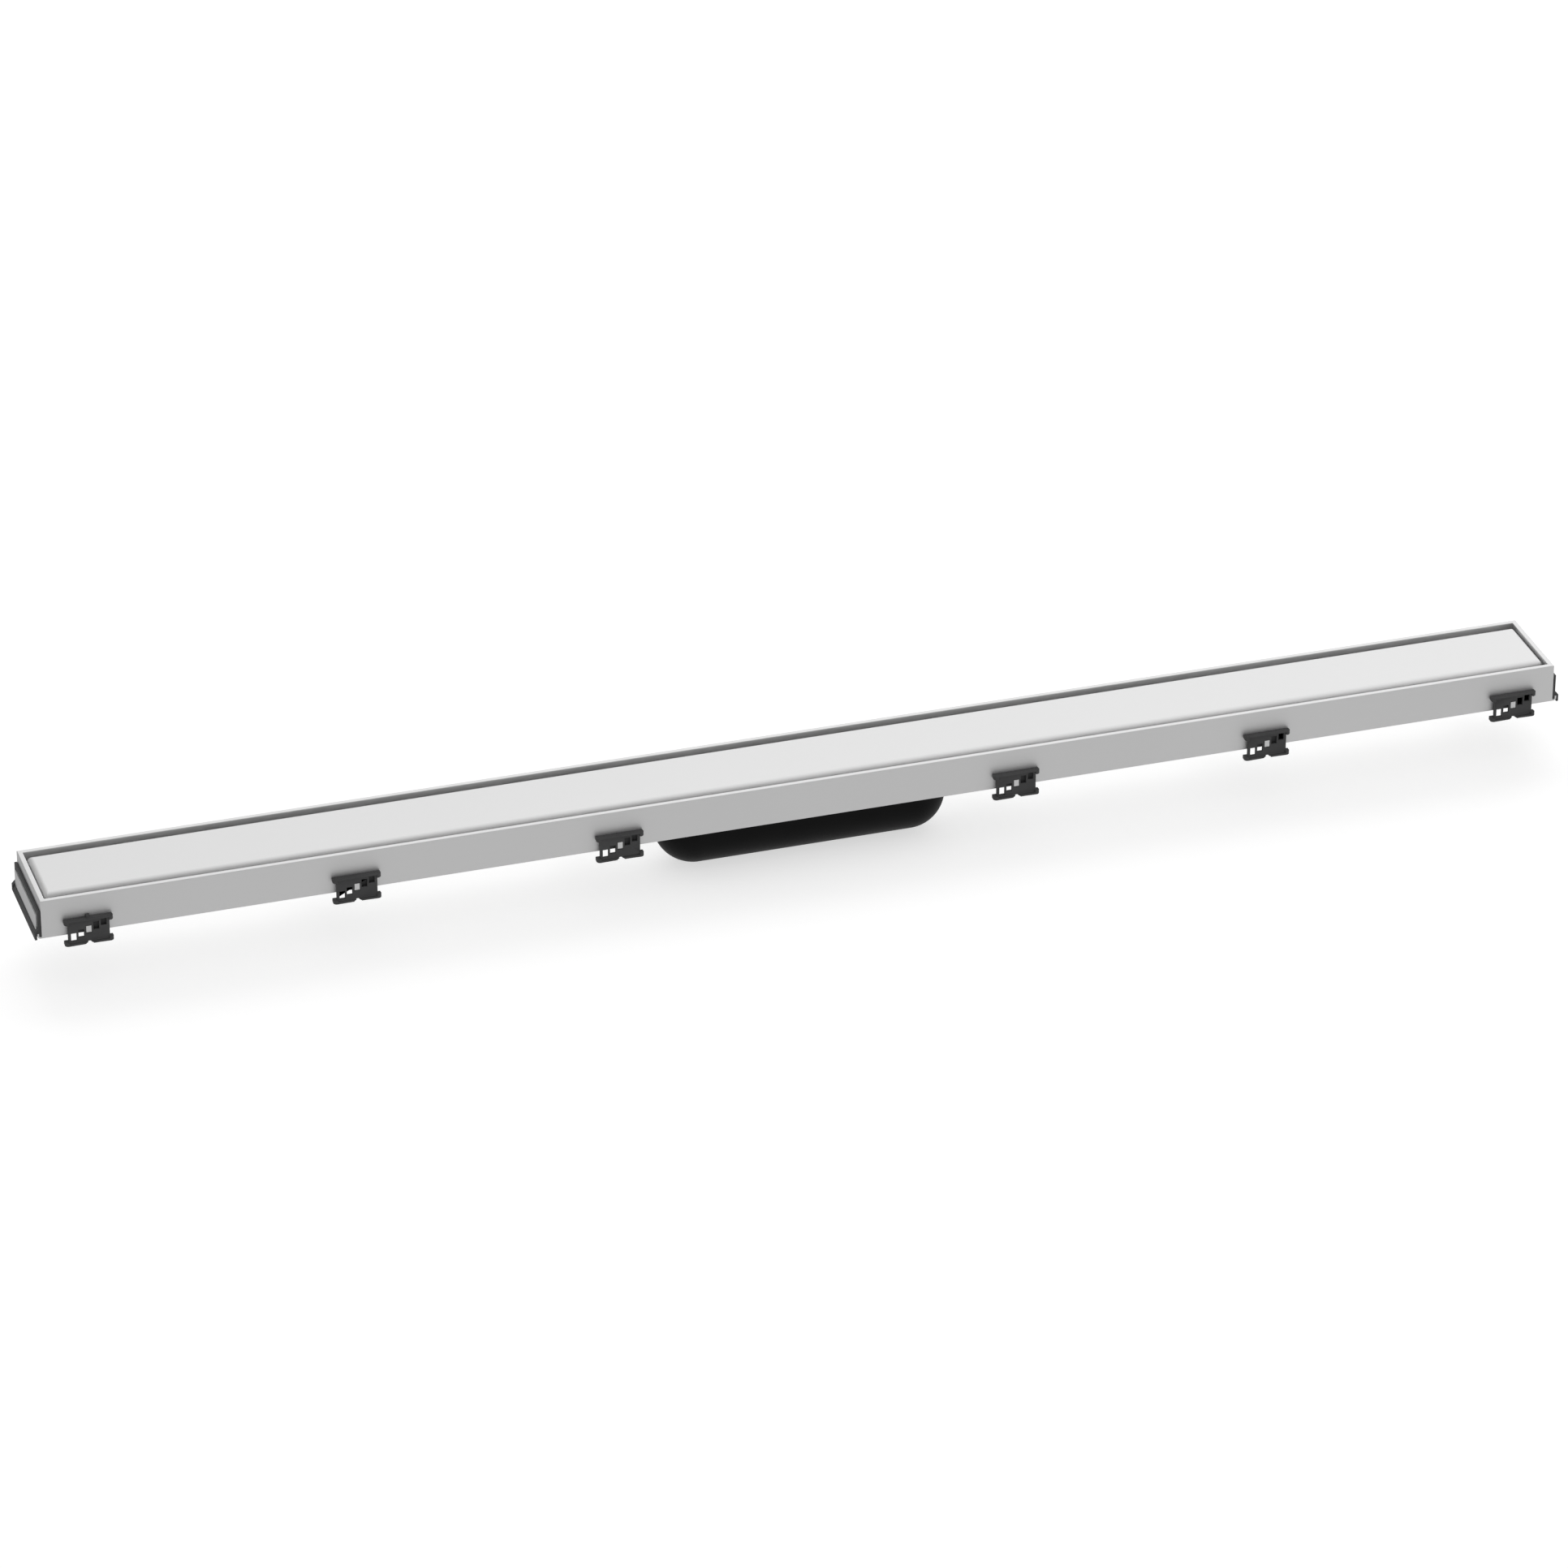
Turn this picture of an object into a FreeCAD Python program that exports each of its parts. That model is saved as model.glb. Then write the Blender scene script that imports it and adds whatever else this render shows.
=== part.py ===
# Linear shower drain: a hemmed steel frame with a lift-out cover, carried by moulded height clips,
# over a sloping tray that empties through a trap into a moulded sump with a side outlet.
# Millimetres. X runs along the channel, Y across it, +Z is up. The origin is the middle of the
# rim's top face, so every depth is a size downward from the finished floor.
import math
import os
import re

import FreeCAD, Part
import Sketcher
from FreeCAD import Placement, Rotation, Vector

os.makedirs("parts", exist_ok=True)
doc = FreeCAD.newDocument("channel_drain")

# ---- driving sizes ----
sizes = {
    # frame: outer wall, rim and inner leg folded from one sheet
    "frame_length": 1200, "frame_width": 79, "frame_height": 31.2, "frame_sheet": 1.2,
    "rim_width": 3.9, "hem_depth": 12, "rim_radius": 0.6,
    # hooks folded from the lower edge of the long walls, one for each height clip
    "hook_inset": 34.6, "hook_share": 0.17, "hooks_each_way": 3, "hook_width": 3.9, "hook_reach": 3.9,
    "hook_height": 6.2, "hook_lift": 0.6, "hook_bend": 1.6, "hook_inner_bend": 0.4,
    # lip turned up along the lower edge of each end wall
    "lip_reach": 3.2, "lip_height": 17.6, "lip_foot": 4.2, "lip_setback": 4.2, "lip_bend": 2.2,
    # lift-out cover
    "slot_width": 5.9, "end_gap": 1.4, "cover_depth": 10, "cover_sheet": 1.5, "cover_bend": 4.5,
    "corner_gap": 1.1, "corner_relief": 0.8,
    # tray
    "tray_sheet": 1.2, "fit_gap": 0.15, "tray_end_depth": 25, "tray_fall": 5.4, "flat_margin": 9.5,
    "tray_bend": 4, "throat_length": 112, "throat_width": 32,
    # cross bars and saddles that carry the cover
    "bars_each_way": 2, "bar_width": 20, "bar_sheet": 1.8, "bar_tab": 8, "bar_bend": 3,
    "saddle_width": 14, "saddle_base": 4, "saddle_rib": 2.4,
    "saddle_rise": 2.5, "saddle_dip": 1.5, "groove_gap": 0.1,
    # sump and its side outlet
    "sump_length": 231, "sump_width": 66, "sump_depth": 71, "sump_shift": -3.5, "end_flat": 2,
    "round_step": 1, "sump_wall": 2.5, "collar_wall": 5.5, "collar_height": 4,
    "outlet_diameter": 40, "outlet_wall": 2, "outlet_depth": 53, "outlet_root": 15,
    "outlet_stop": 42, "stop_step": 1.2, "outlet_reach": 78, "weir_depth": 47, "weir_reach": 8,
    "boss_diameter": 8, "boss_height": 12, "gasket_sheet": 1, "gasket_margin": 6,
    # screws through the tray floor into the sump
    "screw_spacing": 150, "screw_inset": 5.7, "screw_diameter": 4, "screw_gap": 0.1,
    "screw_head": 7, "screw_head_height": 2.2, "screw_length": 11, "screw_socket": 2.9,
    # trap insert, its seal and the strainer
    "dip_gap": 0.5, "dip_wall": 2, "dip_depth": 61, "dip_lip": 4, "dip_lip_height": 1.6,
    "seal_height": 1, "strainer_sheet": 1, "slot_length": 10, "slot_opening": 3.6,
    "slot_pitch": 8.8,
    # height clips
    "clip_width": 37, "clip_top": 17.9, "clip_height": 20.7, "clip_depth": 5.6, "clip_gap": 0.2,
    "clip_head": 1.2, "clip_foot": 1.6, "web_width": 31.4, "web_sheet": 2.3, "web_gap": 1.6,
    "web_fillet": 0.8, "window_gap": 0.2, "window_pitch": 5.7, "window_step": 2.5,
    "windows_each_way": 2, "notch_radius": 3.6, "notch_drop": 1.8, "clip_corner": 2.8,
    "ear_width": 3.5, "ear_height": 3.1,
    "nub_width": 3, "nub_height": 2, "nub_depth": 2.5,
    # end holders
    "holder_top": 9, "holder_head": 4, "holder_sheet": 2.1, "holder_web": 1.5, "holder_gap": 0.2,
    "holder_post": 3.8, "holder_shoulder": 23.5, "holder_foot": 1.8, "holder_slope": 2.8,
    "holder_drop": 1.1,
}
sheet = doc.addObject("Spreadsheet::Sheet", "sizes")
for row, (name, size) in enumerate(sizes.items(), start=1):
    sheet.set(f"A{row}", name)
    sheet.set(f"B{row}", str(size))
    sheet.setAlias(f"B{row}", name)
doc.recompute()


# ---- helpers: a formula is written with the sheet's own names ----
def bound(formula):
    return re.sub(r"[a-z]+(?:_[a-z]+)+", lambda found: "sizes." + found.group(), formula)


def value(formula):
    return float(sheet.evalExpression(bound(formula)))


def new_body(label):
    body = doc.addObject("PartDesign::Body", label)
    body.Label = label
    return body


def origin_part(body, role):
    return next(item for item in body.Origin.OriginFeatures if item.Role == role)


def new_sketch(body, name, plane, offset="0"):
    sketch = body.newObject("Sketcher::SketchObject", name)
    sketch.AttachmentSupport = (origin_part(body, plane), [""])
    sketch.MapMode = "FlatFace"
    sketch.setExpression(".AttachmentOffset.Base.z", bound(offset))
    return sketch


def constrain(sketch, kind, geometry, point, formula):
    constraint = Sketcher.Constraint(kind, -1, 1, geometry, point, value(formula))
    index = sketch.addConstraint(constraint)
    sketch.setExpression(f"Constraints[{index}]", bound(formula))


# Closed outline, counter-clockwise. Each entry is (x, y) for a straight run to the next point, or
# (x, y, centre x, centre y, turn) for an arc to it, turn 1 going counter-clockwise and -1 clockwise.
def draw(sketch, outline):
    points = [Vector(value(entry[0]), value(entry[1]), 0) for entry in outline]
    ends = []
    for entry, start, end in zip(outline, points, points[1:] + points[:1]):
        if len(entry) == 2:
            ends.append((sketch.addGeometry(Part.LineSegment(start, end)), 1, 2))
            continue
        centre = Vector(value(entry[2]), value(entry[3]), 0)
        low, high = (start, end) if entry[4] > 0 else (end, start)
        circle = Part.Circle(centre, Vector(0, 0, 1), (start - centre).Length)
        arc = Part.ArcOfCircle(circle, circle.parameter(low), circle.parameter(high))
        index = sketch.addGeometry(arc)
        ends.append((index, 1, 2) if entry[4] > 0 else (index, 2, 1))
        chord = end - start
        if abs(chord.y) >= abs(chord.x):
            constrain(sketch, "DistanceX", index, 3, entry[2])
        else:
            constrain(sketch, "DistanceY", index, 3, entry[3])
    for (before, _, stop), (after, go, _), entry in zip(ends[-1:] + ends[:-1], ends, outline):
        sketch.addConstraint(Sketcher.Constraint("Coincident", before, stop, after, go))
        constrain(sketch, "DistanceX", after, go, entry[0])
        constrain(sketch, "DistanceY", after, go, entry[1])


# The same outline with right-angled corners given as (x, y) or (x, y, radius).
def rounded(corners):
    spots = [(value(corner[0]), value(corner[1])) for corner in corners]
    outline = []
    for index, corner in enumerate(corners):
        if len(corner) == 2:
            outline.append(corner)
            continue
        x, y, radius = corner
        here, last, following = spots[index], spots[index - 1], spots[(index + 1) % len(spots)]
        back = [math.copysign(1, a - b) if abs(a - b) > 1e-9 else 0 for a, b in zip(last, here)]
        ahead = [math.copysign(1, a - b) if abs(a - b) > 1e-9 else 0 for a, b in zip(following, here)]
        turn = 1 if back[0] * ahead[1] - back[1] * ahead[0] < 0 else -1
        outline.append((
            f"({x}) + {back[0]} * ({radius})", f"({y}) + {back[1]} * ({radius})",
            f"({x}) + {back[0] + ahead[0]} * ({radius})", f"({y}) + {back[1] + ahead[1]} * ({radius})",
            turn))
        outline.append((f"({x}) + {ahead[0]} * ({radius})", f"({y}) + {ahead[1]} * ({radius})"))
    return outline


def box_outline(half_x, half_y, radius=None, centre="0"):
    corners = [(f"({centre}) {sx} ({half_x})", f"0 {sy} ({half_y})")
               for sx, sy in (("-", "-"), ("+", "-"), ("+", "+"), ("-", "+"))]
    return rounded([corner + (radius,) if radius else corner for corner in corners])


def slot_outline(half_x, radius, centre="0", middle="0"):
    left, right = f"({centre}) - ({half_x})", f"({centre}) + ({half_x})"
    low, high = f"({middle}) - ({radius})", f"({middle}) + ({radius})"
    return [(left, low), (right, low, right, middle, 1), (right, high), (left, high, left, middle, 1)]


def add_circle(sketch, x, y, radius):
    circle = Part.Circle(Vector(value(x), value(y), 0), Vector(0, 0, 1), value(radius))
    index = sketch.addGeometry(circle)
    constrain(sketch, "DistanceX", index, 3, x)
    constrain(sketch, "DistanceY", index, 3, y)
    size = sketch.addConstraint(Sketcher.Constraint("Radius", index, value(radius)))
    sketch.setExpression(f"Constraints[{size}]", bound(radius))


def extrude(kind, body, name, sketch, length, reverse=False, both=False):
    feature = body.newObject(kind, name)
    feature.Profile = sketch
    feature.Reversed = reverse
    feature.Midplane = both
    feature.setExpression("Length", bound(length))
    sketch.Visibility = False
    return feature


def pad(body, name, sketch, length, **options):
    return extrude("PartDesign::Pad", body, name, sketch, length, **options)


def pocket(body, name, sketch, length, **options):
    return extrude("PartDesign::Pocket", body, name, sketch, length, **options)


def edges_where(feature, test):
    return [f"Edge{number}" for number, edge in enumerate(feature.Shape.Edges, start=1) if test(edge)]


def fillet(body, name, base, test, radius):
    doc.recompute()
    feature = body.newObject("PartDesign::Fillet", name)
    feature.Base = (base, edges_where(base, test))
    feature.setExpression("Radius", bound(radius))
    doc.recompute()
    return feature


def hollow(body, name, base, face_test, wall):
    doc.recompute()
    feature = body.newObject("PartDesign::Thickness", name)
    faces = [f"Face{n}" for n, face in enumerate(base.Shape.Faces, start=1) if face_test(face)]
    feature.Base = (base, faces)
    feature.Reversed = True
    feature.setExpression("Value", bound(wall))
    doc.recompute()
    return feature


def mirrored(body, name, originals, plane):
    feature = body.newObject("PartDesign::Mirrored", name)
    feature.Originals = originals
    feature.MirrorPlane = (origin_part(body, plane), [""])
    body.Tip = feature
    return feature


# Copies features in a row along X if one is given as (count, pitch), then to the other half and side.
def repeated(body, name, originals, row=None):
    feature = body.newObject("PartDesign::MultiTransform", name)
    feature.Originals = originals
    steps = []
    if row:
        count, pitch = row
        step = body.newObject("PartDesign::LinearPattern", name + "_row")
        step.Direction = (origin_part(body, "X_Axis"), [""])
        step.Occurrences = int(value(count))
        step.setExpression("Length", bound(f"({count} - 1) * {pitch}"))
        steps.append(step)
    for side, plane in (("left", "YZ_Plane"), ("back", "XZ_Plane")):
        step = body.newObject("PartDesign::Mirrored", f"{name}_{side}")
        step.MirrorPlane = (origin_part(body, plane), [""])
        steps.append(step)
    feature.Transformations = steps
    body.Tip = feature


def at_height(edge, level):
    return all(abs(vertex.Z - level) < 1e-4 for vertex in edge.Vertexes)


def spots_each_way(first, pitch, count):
    half = [f"{first} + {step} * {pitch}" for step in range(int(value(count)))]
    return [f"-({spot})" for spot in reversed(half)] + half


# ---- frame ----
half_length = "frame_length / 2"
half_width = "frame_width / 2"
hook_pitch = "(hook_share * frame_length)"
hook_first = f"({half_length} - hook_inset - (hooks_each_way - 1) * {hook_pitch})"


def ring(body, name, outer_inset, inner_inset, depth):
    sketch = new_sketch(body, name + "_outline", "XY_Plane")
    for inset in (outer_inset, inner_inset):
        draw(sketch, box_outline(f"{half_length} - ({inset})", f"{half_width} - ({inset})"))
    return pad(body, name, sketch, depth, reverse=True)


def make_frame():
    body = new_body("frame")
    ring(body, "outer_wall", "0", "frame_sheet", "frame_height")
    ring(body, "rim", "0", "rim_width", "frame_sheet")
    leg = ring(body, "inner_leg", "rim_width - frame_sheet", "rim_width", "hem_depth")
    fillet(body, "rim_edges", leg, lambda edge: at_height(edge, 0), "rim_radius")

    # one hook, repeated along the wall, then mirrored to the other half and the other wall
    hook_low = "-frame_height + hook_lift"
    inner, outer = f"-{half_width} + frame_sheet / 2", f"-{half_width} - hook_reach"
    sketch = new_sketch(body, "hook_fold", "YZ_Plane", hook_first)
    draw(sketch, rounded([
        (inner, hook_low), (inner, f"{hook_low} + frame_sheet"),
        (f"{outer} + frame_sheet", f"{hook_low} + frame_sheet", "hook_inner_bend"),
        (f"{outer} + frame_sheet", f"{hook_low} + hook_height"), (outer, f"{hook_low} + hook_height"),
        (outer, hook_low, "hook_bend")]))
    hook = pad(body, "hook", sketch, "hook_width", both=True)
    repeated(body, "hooks", [hook], ("hooks_each_way", hook_pitch))

    # lip along each end wall: its foot is as wide as the wall, its upright stands back from both ends
    lip_low, lip_outer = "-frame_height", f"{half_length} + lip_reach"
    sketch = new_sketch(body, "lip_fold", "XZ_Plane")
    draw(sketch, rounded([
        (f"{half_length} - frame_sheet / 2", lip_low), (lip_outer, lip_low, "lip_bend"),
        (lip_outer, f"{lip_low} + lip_height"), (f"{lip_outer} - frame_sheet", f"{lip_low} + lip_height"),
        (f"{lip_outer} - frame_sheet", f"{lip_low} + frame_sheet", "lip_bend - frame_sheet"),
        (f"{half_length} - frame_sheet / 2", f"{lip_low} + frame_sheet")]))
    lip = pad(body, "lip", sketch, "frame_width", both=True)
    sketch = new_sketch(body, "lip_ends", "YZ_Plane", f"{lip_outer} - 1.5 * frame_sheet")
    for sign in ("", "-"):
        near, far = f"{half_width} - lip_setback", f"{half_width} + frame_sheet"
        low, high = f"{lip_low} + lip_foot", f"{lip_low} + lip_height + frame_sheet"
        draw(sketch, [(f"{sign}({near})", low), (f"{sign}({far})", low),
                      (f"{sign}({far})", high), (f"{sign}({near})", high)])
    cut = pocket(body, "lip_setbacks", sketch, "2 * frame_sheet", reverse=True)
    mirrored(body, "lip_left", [lip, cut], "YZ_Plane")
    return body


# ---- tray ----
tray_half_length = f"({half_length} - frame_sheet - fit_gap)"
tray_half_width = f"({half_width} - frame_sheet - fit_gap)"
tray_bottom = "-(tray_end_depth + tray_fall)"
floor_top = f"({tray_bottom} + tray_sheet)"
tray_flat_half = "(sump_length / 2 + flat_margin)"
throat_half = "(throat_length - throat_width) / 2"


def screw_spots():
    side, end = "(sump_width / 2 - screw_inset)", "(sump_length / 2 - screw_inset)"
    spots = [(f"sump_shift {sx} screw_spacing / 2", f"0 {sy} {side}") for sx in "+-" for sy in "+-"]
    return spots + [(f"sump_shift {sx} {end}", "0") for sx in "+-"]


def add_screw_circles(sketch, radius):
    for x, y in screw_spots():
        add_circle(sketch, x, y, radius)


def make_tray():
    body = new_body("channel_tray")
    sketch = new_sketch(body, "fall_line", "XZ_Plane")
    draw(sketch, [
        (f"-{tray_half_length}", "-tray_end_depth"), (f"-{tray_flat_half}", tray_bottom),
        (tray_flat_half, tray_bottom), (tray_half_length, "-tray_end_depth"),
        (tray_half_length, "-frame_sheet"), (f"-{tray_half_length}", "-frame_sheet")])
    block = pad(body, "block", sketch, f"2 * {tray_half_width}", both=True)

    crease, low = value(tray_flat_half), value("-tray_end_depth")

    def is_lower_rim(edge):
        ends = [vertex.Point for vertex in edge.Vertexes]
        return all(end.z < low + 1e-4 for end in ends) and not all(
            abs(abs(end.x) - crease) < 1e-4 for end in ends) or all(
            abs(abs(end.x) - crease) < 1e-4 for end in ends) and abs(ends[0].y - ends[1].y) < 1e-4

    pressed = fillet(body, "pressed_edges", block, is_lower_rim, "tray_bend")
    hollow(body, "pan", pressed,
           lambda face: face.CenterOfMass.z > value("-frame_sheet") - 1e-4, "tray_sheet")
    sketch = new_sketch(body, "floor_openings", "XY_Plane")
    draw(sketch, slot_outline(throat_half, "throat_width / 2", "sump_shift"))
    add_screw_circles(sketch, "screw_diameter / 2 + screw_gap")
    pocket(body, "openings", sketch, "frame_height")
    return body


# ---- bars and saddles ----
cover_half_width = f"({half_width} - rim_width - slot_width)"
bar_top = "(-cover_depth - saddle_base)"
bar_pitch = "(frame_length / (2 * bars_each_way))"


def make_bar(index, spot):
    body = new_body(f"cross_bar_{index}")
    side = f"({tray_half_width} - tray_sheet)"
    inner, foot = f"({side} - bar_sheet)", f"{bar_top} - bar_tab"
    sketch = new_sketch(body, f"bar_fold_{index}", "YZ_Plane", spot)
    draw(sketch, rounded([
        (f"-{side}", foot), (f"-{inner}", foot),
        (f"-{inner}", f"{bar_top} - bar_sheet", "bar_bend - bar_sheet"),
        (inner, f"{bar_top} - bar_sheet", "bar_bend - bar_sheet"), (inner, foot), (side, foot),
        (side, bar_top, "bar_bend"), (f"-{side}", bar_top, "bar_bend")]))
    pad(body, f"bar_{index}", sketch, "bar_width", both=True)
    return body


def make_saddle(index, spot):
    body = new_body(f"cover_saddle_{index}")
    groove_out = f"({cover_half_width} + groove_gap)"
    groove_in = f"({cover_half_width} - cover_sheet - groove_gap)"
    end, rib_in = f"({groove_out} + saddle_rib)", f"({groove_in} - saddle_rib)"
    seat, rib_top, dip = "-cover_depth", "-cover_depth + saddle_rise", "-cover_depth - saddle_dip"
    half = [(end, bar_top), (end, rib_top), (groove_out, rib_top), (groove_out, seat),
            (groove_in, seat), (groove_in, rib_top), (rib_in, rib_top), (rib_in, dip)]
    sketch = new_sketch(body, f"saddle_outline_{index}", "YZ_Plane", spot)
    draw(sketch, half + [(f"-{y}", z) for y, z in reversed(half)])
    pad(body, f"saddle_{index}", sketch, "saddle_width", both=True)
    return body


# ---- cover ----
def make_cover():
    body = new_body("cover_plate")
    cover_half_length = f"({half_length} - rim_width - end_gap)"
    sketch = new_sketch(body, "cover_outline", "XY_Plane")
    draw(sketch, box_outline(cover_half_length, cover_half_width))
    block = pad(body, "cover_block", sketch, "cover_depth", reverse=True)
    bent = fillet(body, "cover_bends", block, lambda edge: at_height(edge, 0), "cover_bend")
    hollow(body, "cover_folds", bent,
           lambda face: face.CenterOfMass.z < value("-cover_depth") + 1e-4, "cover_sheet")

    # each corner is left open where two folds meet: a round relief and a slit out of it at 45 degrees
    sketch = new_sketch(body, "corner_outline", "XY_Plane")
    root_x, root_y = f"({cover_half_length} - cover_bend)", f"({cover_half_width} - cover_bend)"
    add_circle(sketch, root_x, root_y, "corner_relief")
    relief = pocket(body, "corner_round", sketch, "cover_depth")
    sketch = new_sketch(body, "slit_outline", "XY_Plane")
    side, reach = "corner_gap / (2 * sqrt(2))", "2 * cover_bend"
    draw(sketch, [
        (f"{root_x} + {side}", f"{root_y} - {side}"),
        (f"{root_x} + {reach} + {side}", f"{root_y} + {reach} - {side}"),
        (f"{root_x} + {reach} - {side}", f"{root_y} + {reach} + {side}"),
        (f"{root_x} - {side}", f"{root_y} + {side}")])
    slit = pocket(body, "corner_slit", sketch, "cover_depth")
    repeated(body, "corners", [relief, slit])
    return body


# ---- trap ----
dip_radius = "(throat_width / 2 - dip_gap)"
lip_radius = f"({dip_radius} + dip_lip)"
lip_bottom = f"({floor_top} + seal_height)"
lip_top = f"({lip_bottom} + dip_lip_height)"


def make_seal():
    body = new_body("trap_seal")
    sketch = new_sketch(body, "seal_outline", "XY_Plane", floor_top)
    draw(sketch, slot_outline(throat_half, lip_radius, "sump_shift"))
    draw(sketch, slot_outline(throat_half, "throat_width / 2", "sump_shift"))
    pad(body, "seal", sketch, "seal_height")
    return body


def make_insert():
    body = new_body("trap_insert")
    sketch = new_sketch(body, "dip_outline", "XY_Plane", lip_top)
    draw(sketch, slot_outline(throat_half, dip_radius, "sump_shift"))
    pad(body, "dip_tube", sketch, f"dip_depth + {lip_top}", reverse=True)
    sketch = new_sketch(body, "dip_lip_outline", "XY_Plane", lip_top)
    draw(sketch, slot_outline(throat_half, lip_radius, "sump_shift"))
    pad(body, "dip_lip_ring", sketch, "dip_lip_height", reverse=True)
    sketch = new_sketch(body, "dip_bore_outline", "XY_Plane", lip_top)
    draw(sketch, slot_outline(throat_half, f"{dip_radius} - dip_wall", "sump_shift"))
    pocket(body, "dip_bore", sketch, f"dip_depth + {lip_top}")
    return body


def make_strainer():
    body = new_body("strainer")
    sketch = new_sketch(body, "strainer_outline", "XY_Plane", lip_top)
    draw(sketch, slot_outline(throat_half, lip_radius, "sump_shift"))
    pad(body, "strainer_plate", sketch, "strainer_sheet")
    sketch = new_sketch(body, "slot_outlines", "XY_Plane", f"{lip_top} + strainer_sheet")
    columns = int(value(f"{throat_half} / slot_pitch"))
    half, straight = "slot_opening / 2", "(slot_length - slot_opening)"
    for column in range(-columns, columns + 1):
        x = f"sump_shift + {column} * slot_pitch"
        for sign in (1, -1):
            near, far = f"{sign} * slot_opening", f"{sign} * (slot_opening + {straight})"
            low, high = (near, far) if sign > 0 else (far, near)
            draw(sketch, [(f"{x} + {half}", low), (f"{x} + {half}", high, x, high, 1),
                          (f"{x} - {half}", high), (f"{x} - {half}", low, x, low, 1)])
    pocket(body, "slots", sketch, "strainer_sheet")
    return body


# ---- sump ----
sump_top = f"({tray_bottom} - gasket_sheet)"
sump_height = f"(sump_depth + {sump_top})"
sump_corner = "(sump_width / 2 - end_flat)"
sump_round = f"({sump_corner} - round_step)"


def sump_outline(inset):
    return box_outline(f"sump_length / 2 - {inset}", f"sump_width / 2 - {inset}",
                       f"{sump_corner} - {inset}", "sump_shift")


def make_cavity():
    body = new_body("sump_cavity")
    sketch = new_sketch(body, "cavity_outline", "XY_Plane", sump_top)
    draw(sketch, sump_outline("sump_wall"))
    block = pad(body, "cavity_block", sketch, f"{sump_height} - sump_wall", reverse=True)
    fillet(body, "cavity_round", block,
           lambda edge: at_height(edge, value("sump_wall - sump_depth")), f"{sump_round} - sump_wall")
    return body


def make_sump():
    cavity = make_cavity()
    body = new_body("sump")
    sketch = new_sketch(body, "bowl_outline", "XY_Plane", sump_top)
    draw(sketch, sump_outline("0"))
    block = pad(body, "bowl_block", sketch, sump_height, reverse=True)
    fillet(body, "bowl_round", block, lambda edge: at_height(edge, value("-sump_depth")), sump_round)
    # the outlet's root is thicker than its spigot, so that a pipe stops against it clear of the frame
    for name, start, end, step in (("outlet_root", "outlet_root", "outlet_stop", "stop_step"),
                                   ("spigot", "outlet_stop", "outlet_reach", "0")):
        sketch = new_sketch(body, name + "_outline", "XZ_Plane", f"-{start}")
        add_circle(sketch, "sump_shift", "-outlet_depth", f"outlet_diameter / 2 + {step}")
        pad(body, name, sketch, f"{end} - {start}", reverse=True)
    emptied = body.newObject("PartDesign::Boolean", "emptied")
    emptied.Type = "Cut"
    emptied.setObjects([cavity])

    sketch = new_sketch(body, "collar_outline", "XY_Plane", sump_top)
    draw(sketch, sump_outline("sump_wall / 2"))
    draw(sketch, sump_outline("collar_wall"))
    pad(body, "collar", sketch, "collar_height", reverse=True)
    sketch = new_sketch(body, "boss_outlines", "XY_Plane", sump_top)
    add_screw_circles(sketch, "boss_diameter / 2")
    pad(body, "bosses", sketch, "boss_height", reverse=True)
    sketch = new_sketch(body, "boss_holes_outline", "XY_Plane", sump_top)
    add_screw_circles(sketch, "screw_diameter / 2 + screw_gap")
    pocket(body, "boss_holes", sketch, "boss_height - sump_wall / 2")

    # the bore stops at the bowl's back and opens into it only above the weir, which keeps the water in
    sketch = new_sketch(body, "bore_outline", "XZ_Plane", "-sump_width / 2")
    add_circle(sketch, "sump_shift", "-outlet_depth", "outlet_diameter / 2 - outlet_wall")
    pocket(body, "bore", sketch, "outlet_reach - sump_width / 2")
    sketch = new_sketch(body, "weir_outline", "XZ_Plane", "-sump_width / 2")
    half_chord = "sqrt((outlet_diameter / 2 - outlet_wall)^2 - (outlet_depth - weir_depth)^2)"
    draw(sketch, [(f"sump_shift - {half_chord}", "-weir_depth"),
                  (f"sump_shift + {half_chord}", "-weir_depth", "sump_shift", "-outlet_depth", 1)])
    pocket(body, "weir", sketch, "weir_reach", reverse=True)
    return body


def make_gasket():
    body = new_body("sump_gasket")
    sketch = new_sketch(body, "gasket_outline", "XY_Plane", sump_top)
    draw(sketch, sump_outline("0"))
    draw(sketch, slot_outline(throat_half, "throat_width / 2 + gasket_margin", "sump_shift"))
    add_screw_circles(sketch, "screw_diameter / 2 + screw_gap")
    pad(body, "gasket", sketch, "gasket_sheet")
    return body


def make_screws():
    body = new_body("sump_screws")
    body.AllowCompound = True
    sketch = new_sketch(body, "head_outlines", "XY_Plane", floor_top)
    add_screw_circles(sketch, "screw_head / 2")
    heads = pad(body, "heads", sketch, "screw_head_height")
    fillet(body, "head_rounds", heads,
           lambda edge: at_height(edge, value(f"{floor_top} + screw_head_height")), "screw_head_height / 2")
    sketch = new_sketch(body, "shank_outlines", "XY_Plane", floor_top)
    add_screw_circles(sketch, "screw_diameter / 2")
    pad(body, "shanks", sketch, "screw_length", reverse=True)
    sketch = new_sketch(body, "socket_outlines", "XY_Plane", f"{floor_top} + screw_head_height")
    for x, y in screw_spots():
        draw(sketch, hexagon(x, y, "screw_socket / 2"))
    pocket(body, "sockets", sketch, "screw_head_height / 2")
    return body


def hexagon(x, y, radius):
    return [(f"{x} + {radius} * cos({angle} * 1deg)", f"{y} + {radius} * sin({angle} * 1deg)")
            for angle in range(0, 360, 60)]


# ---- height clips: drawn against a wall in the plane y = 0, standing out towards -Y ----
clip_bottom = "(-clip_top - clip_height)"


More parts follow.
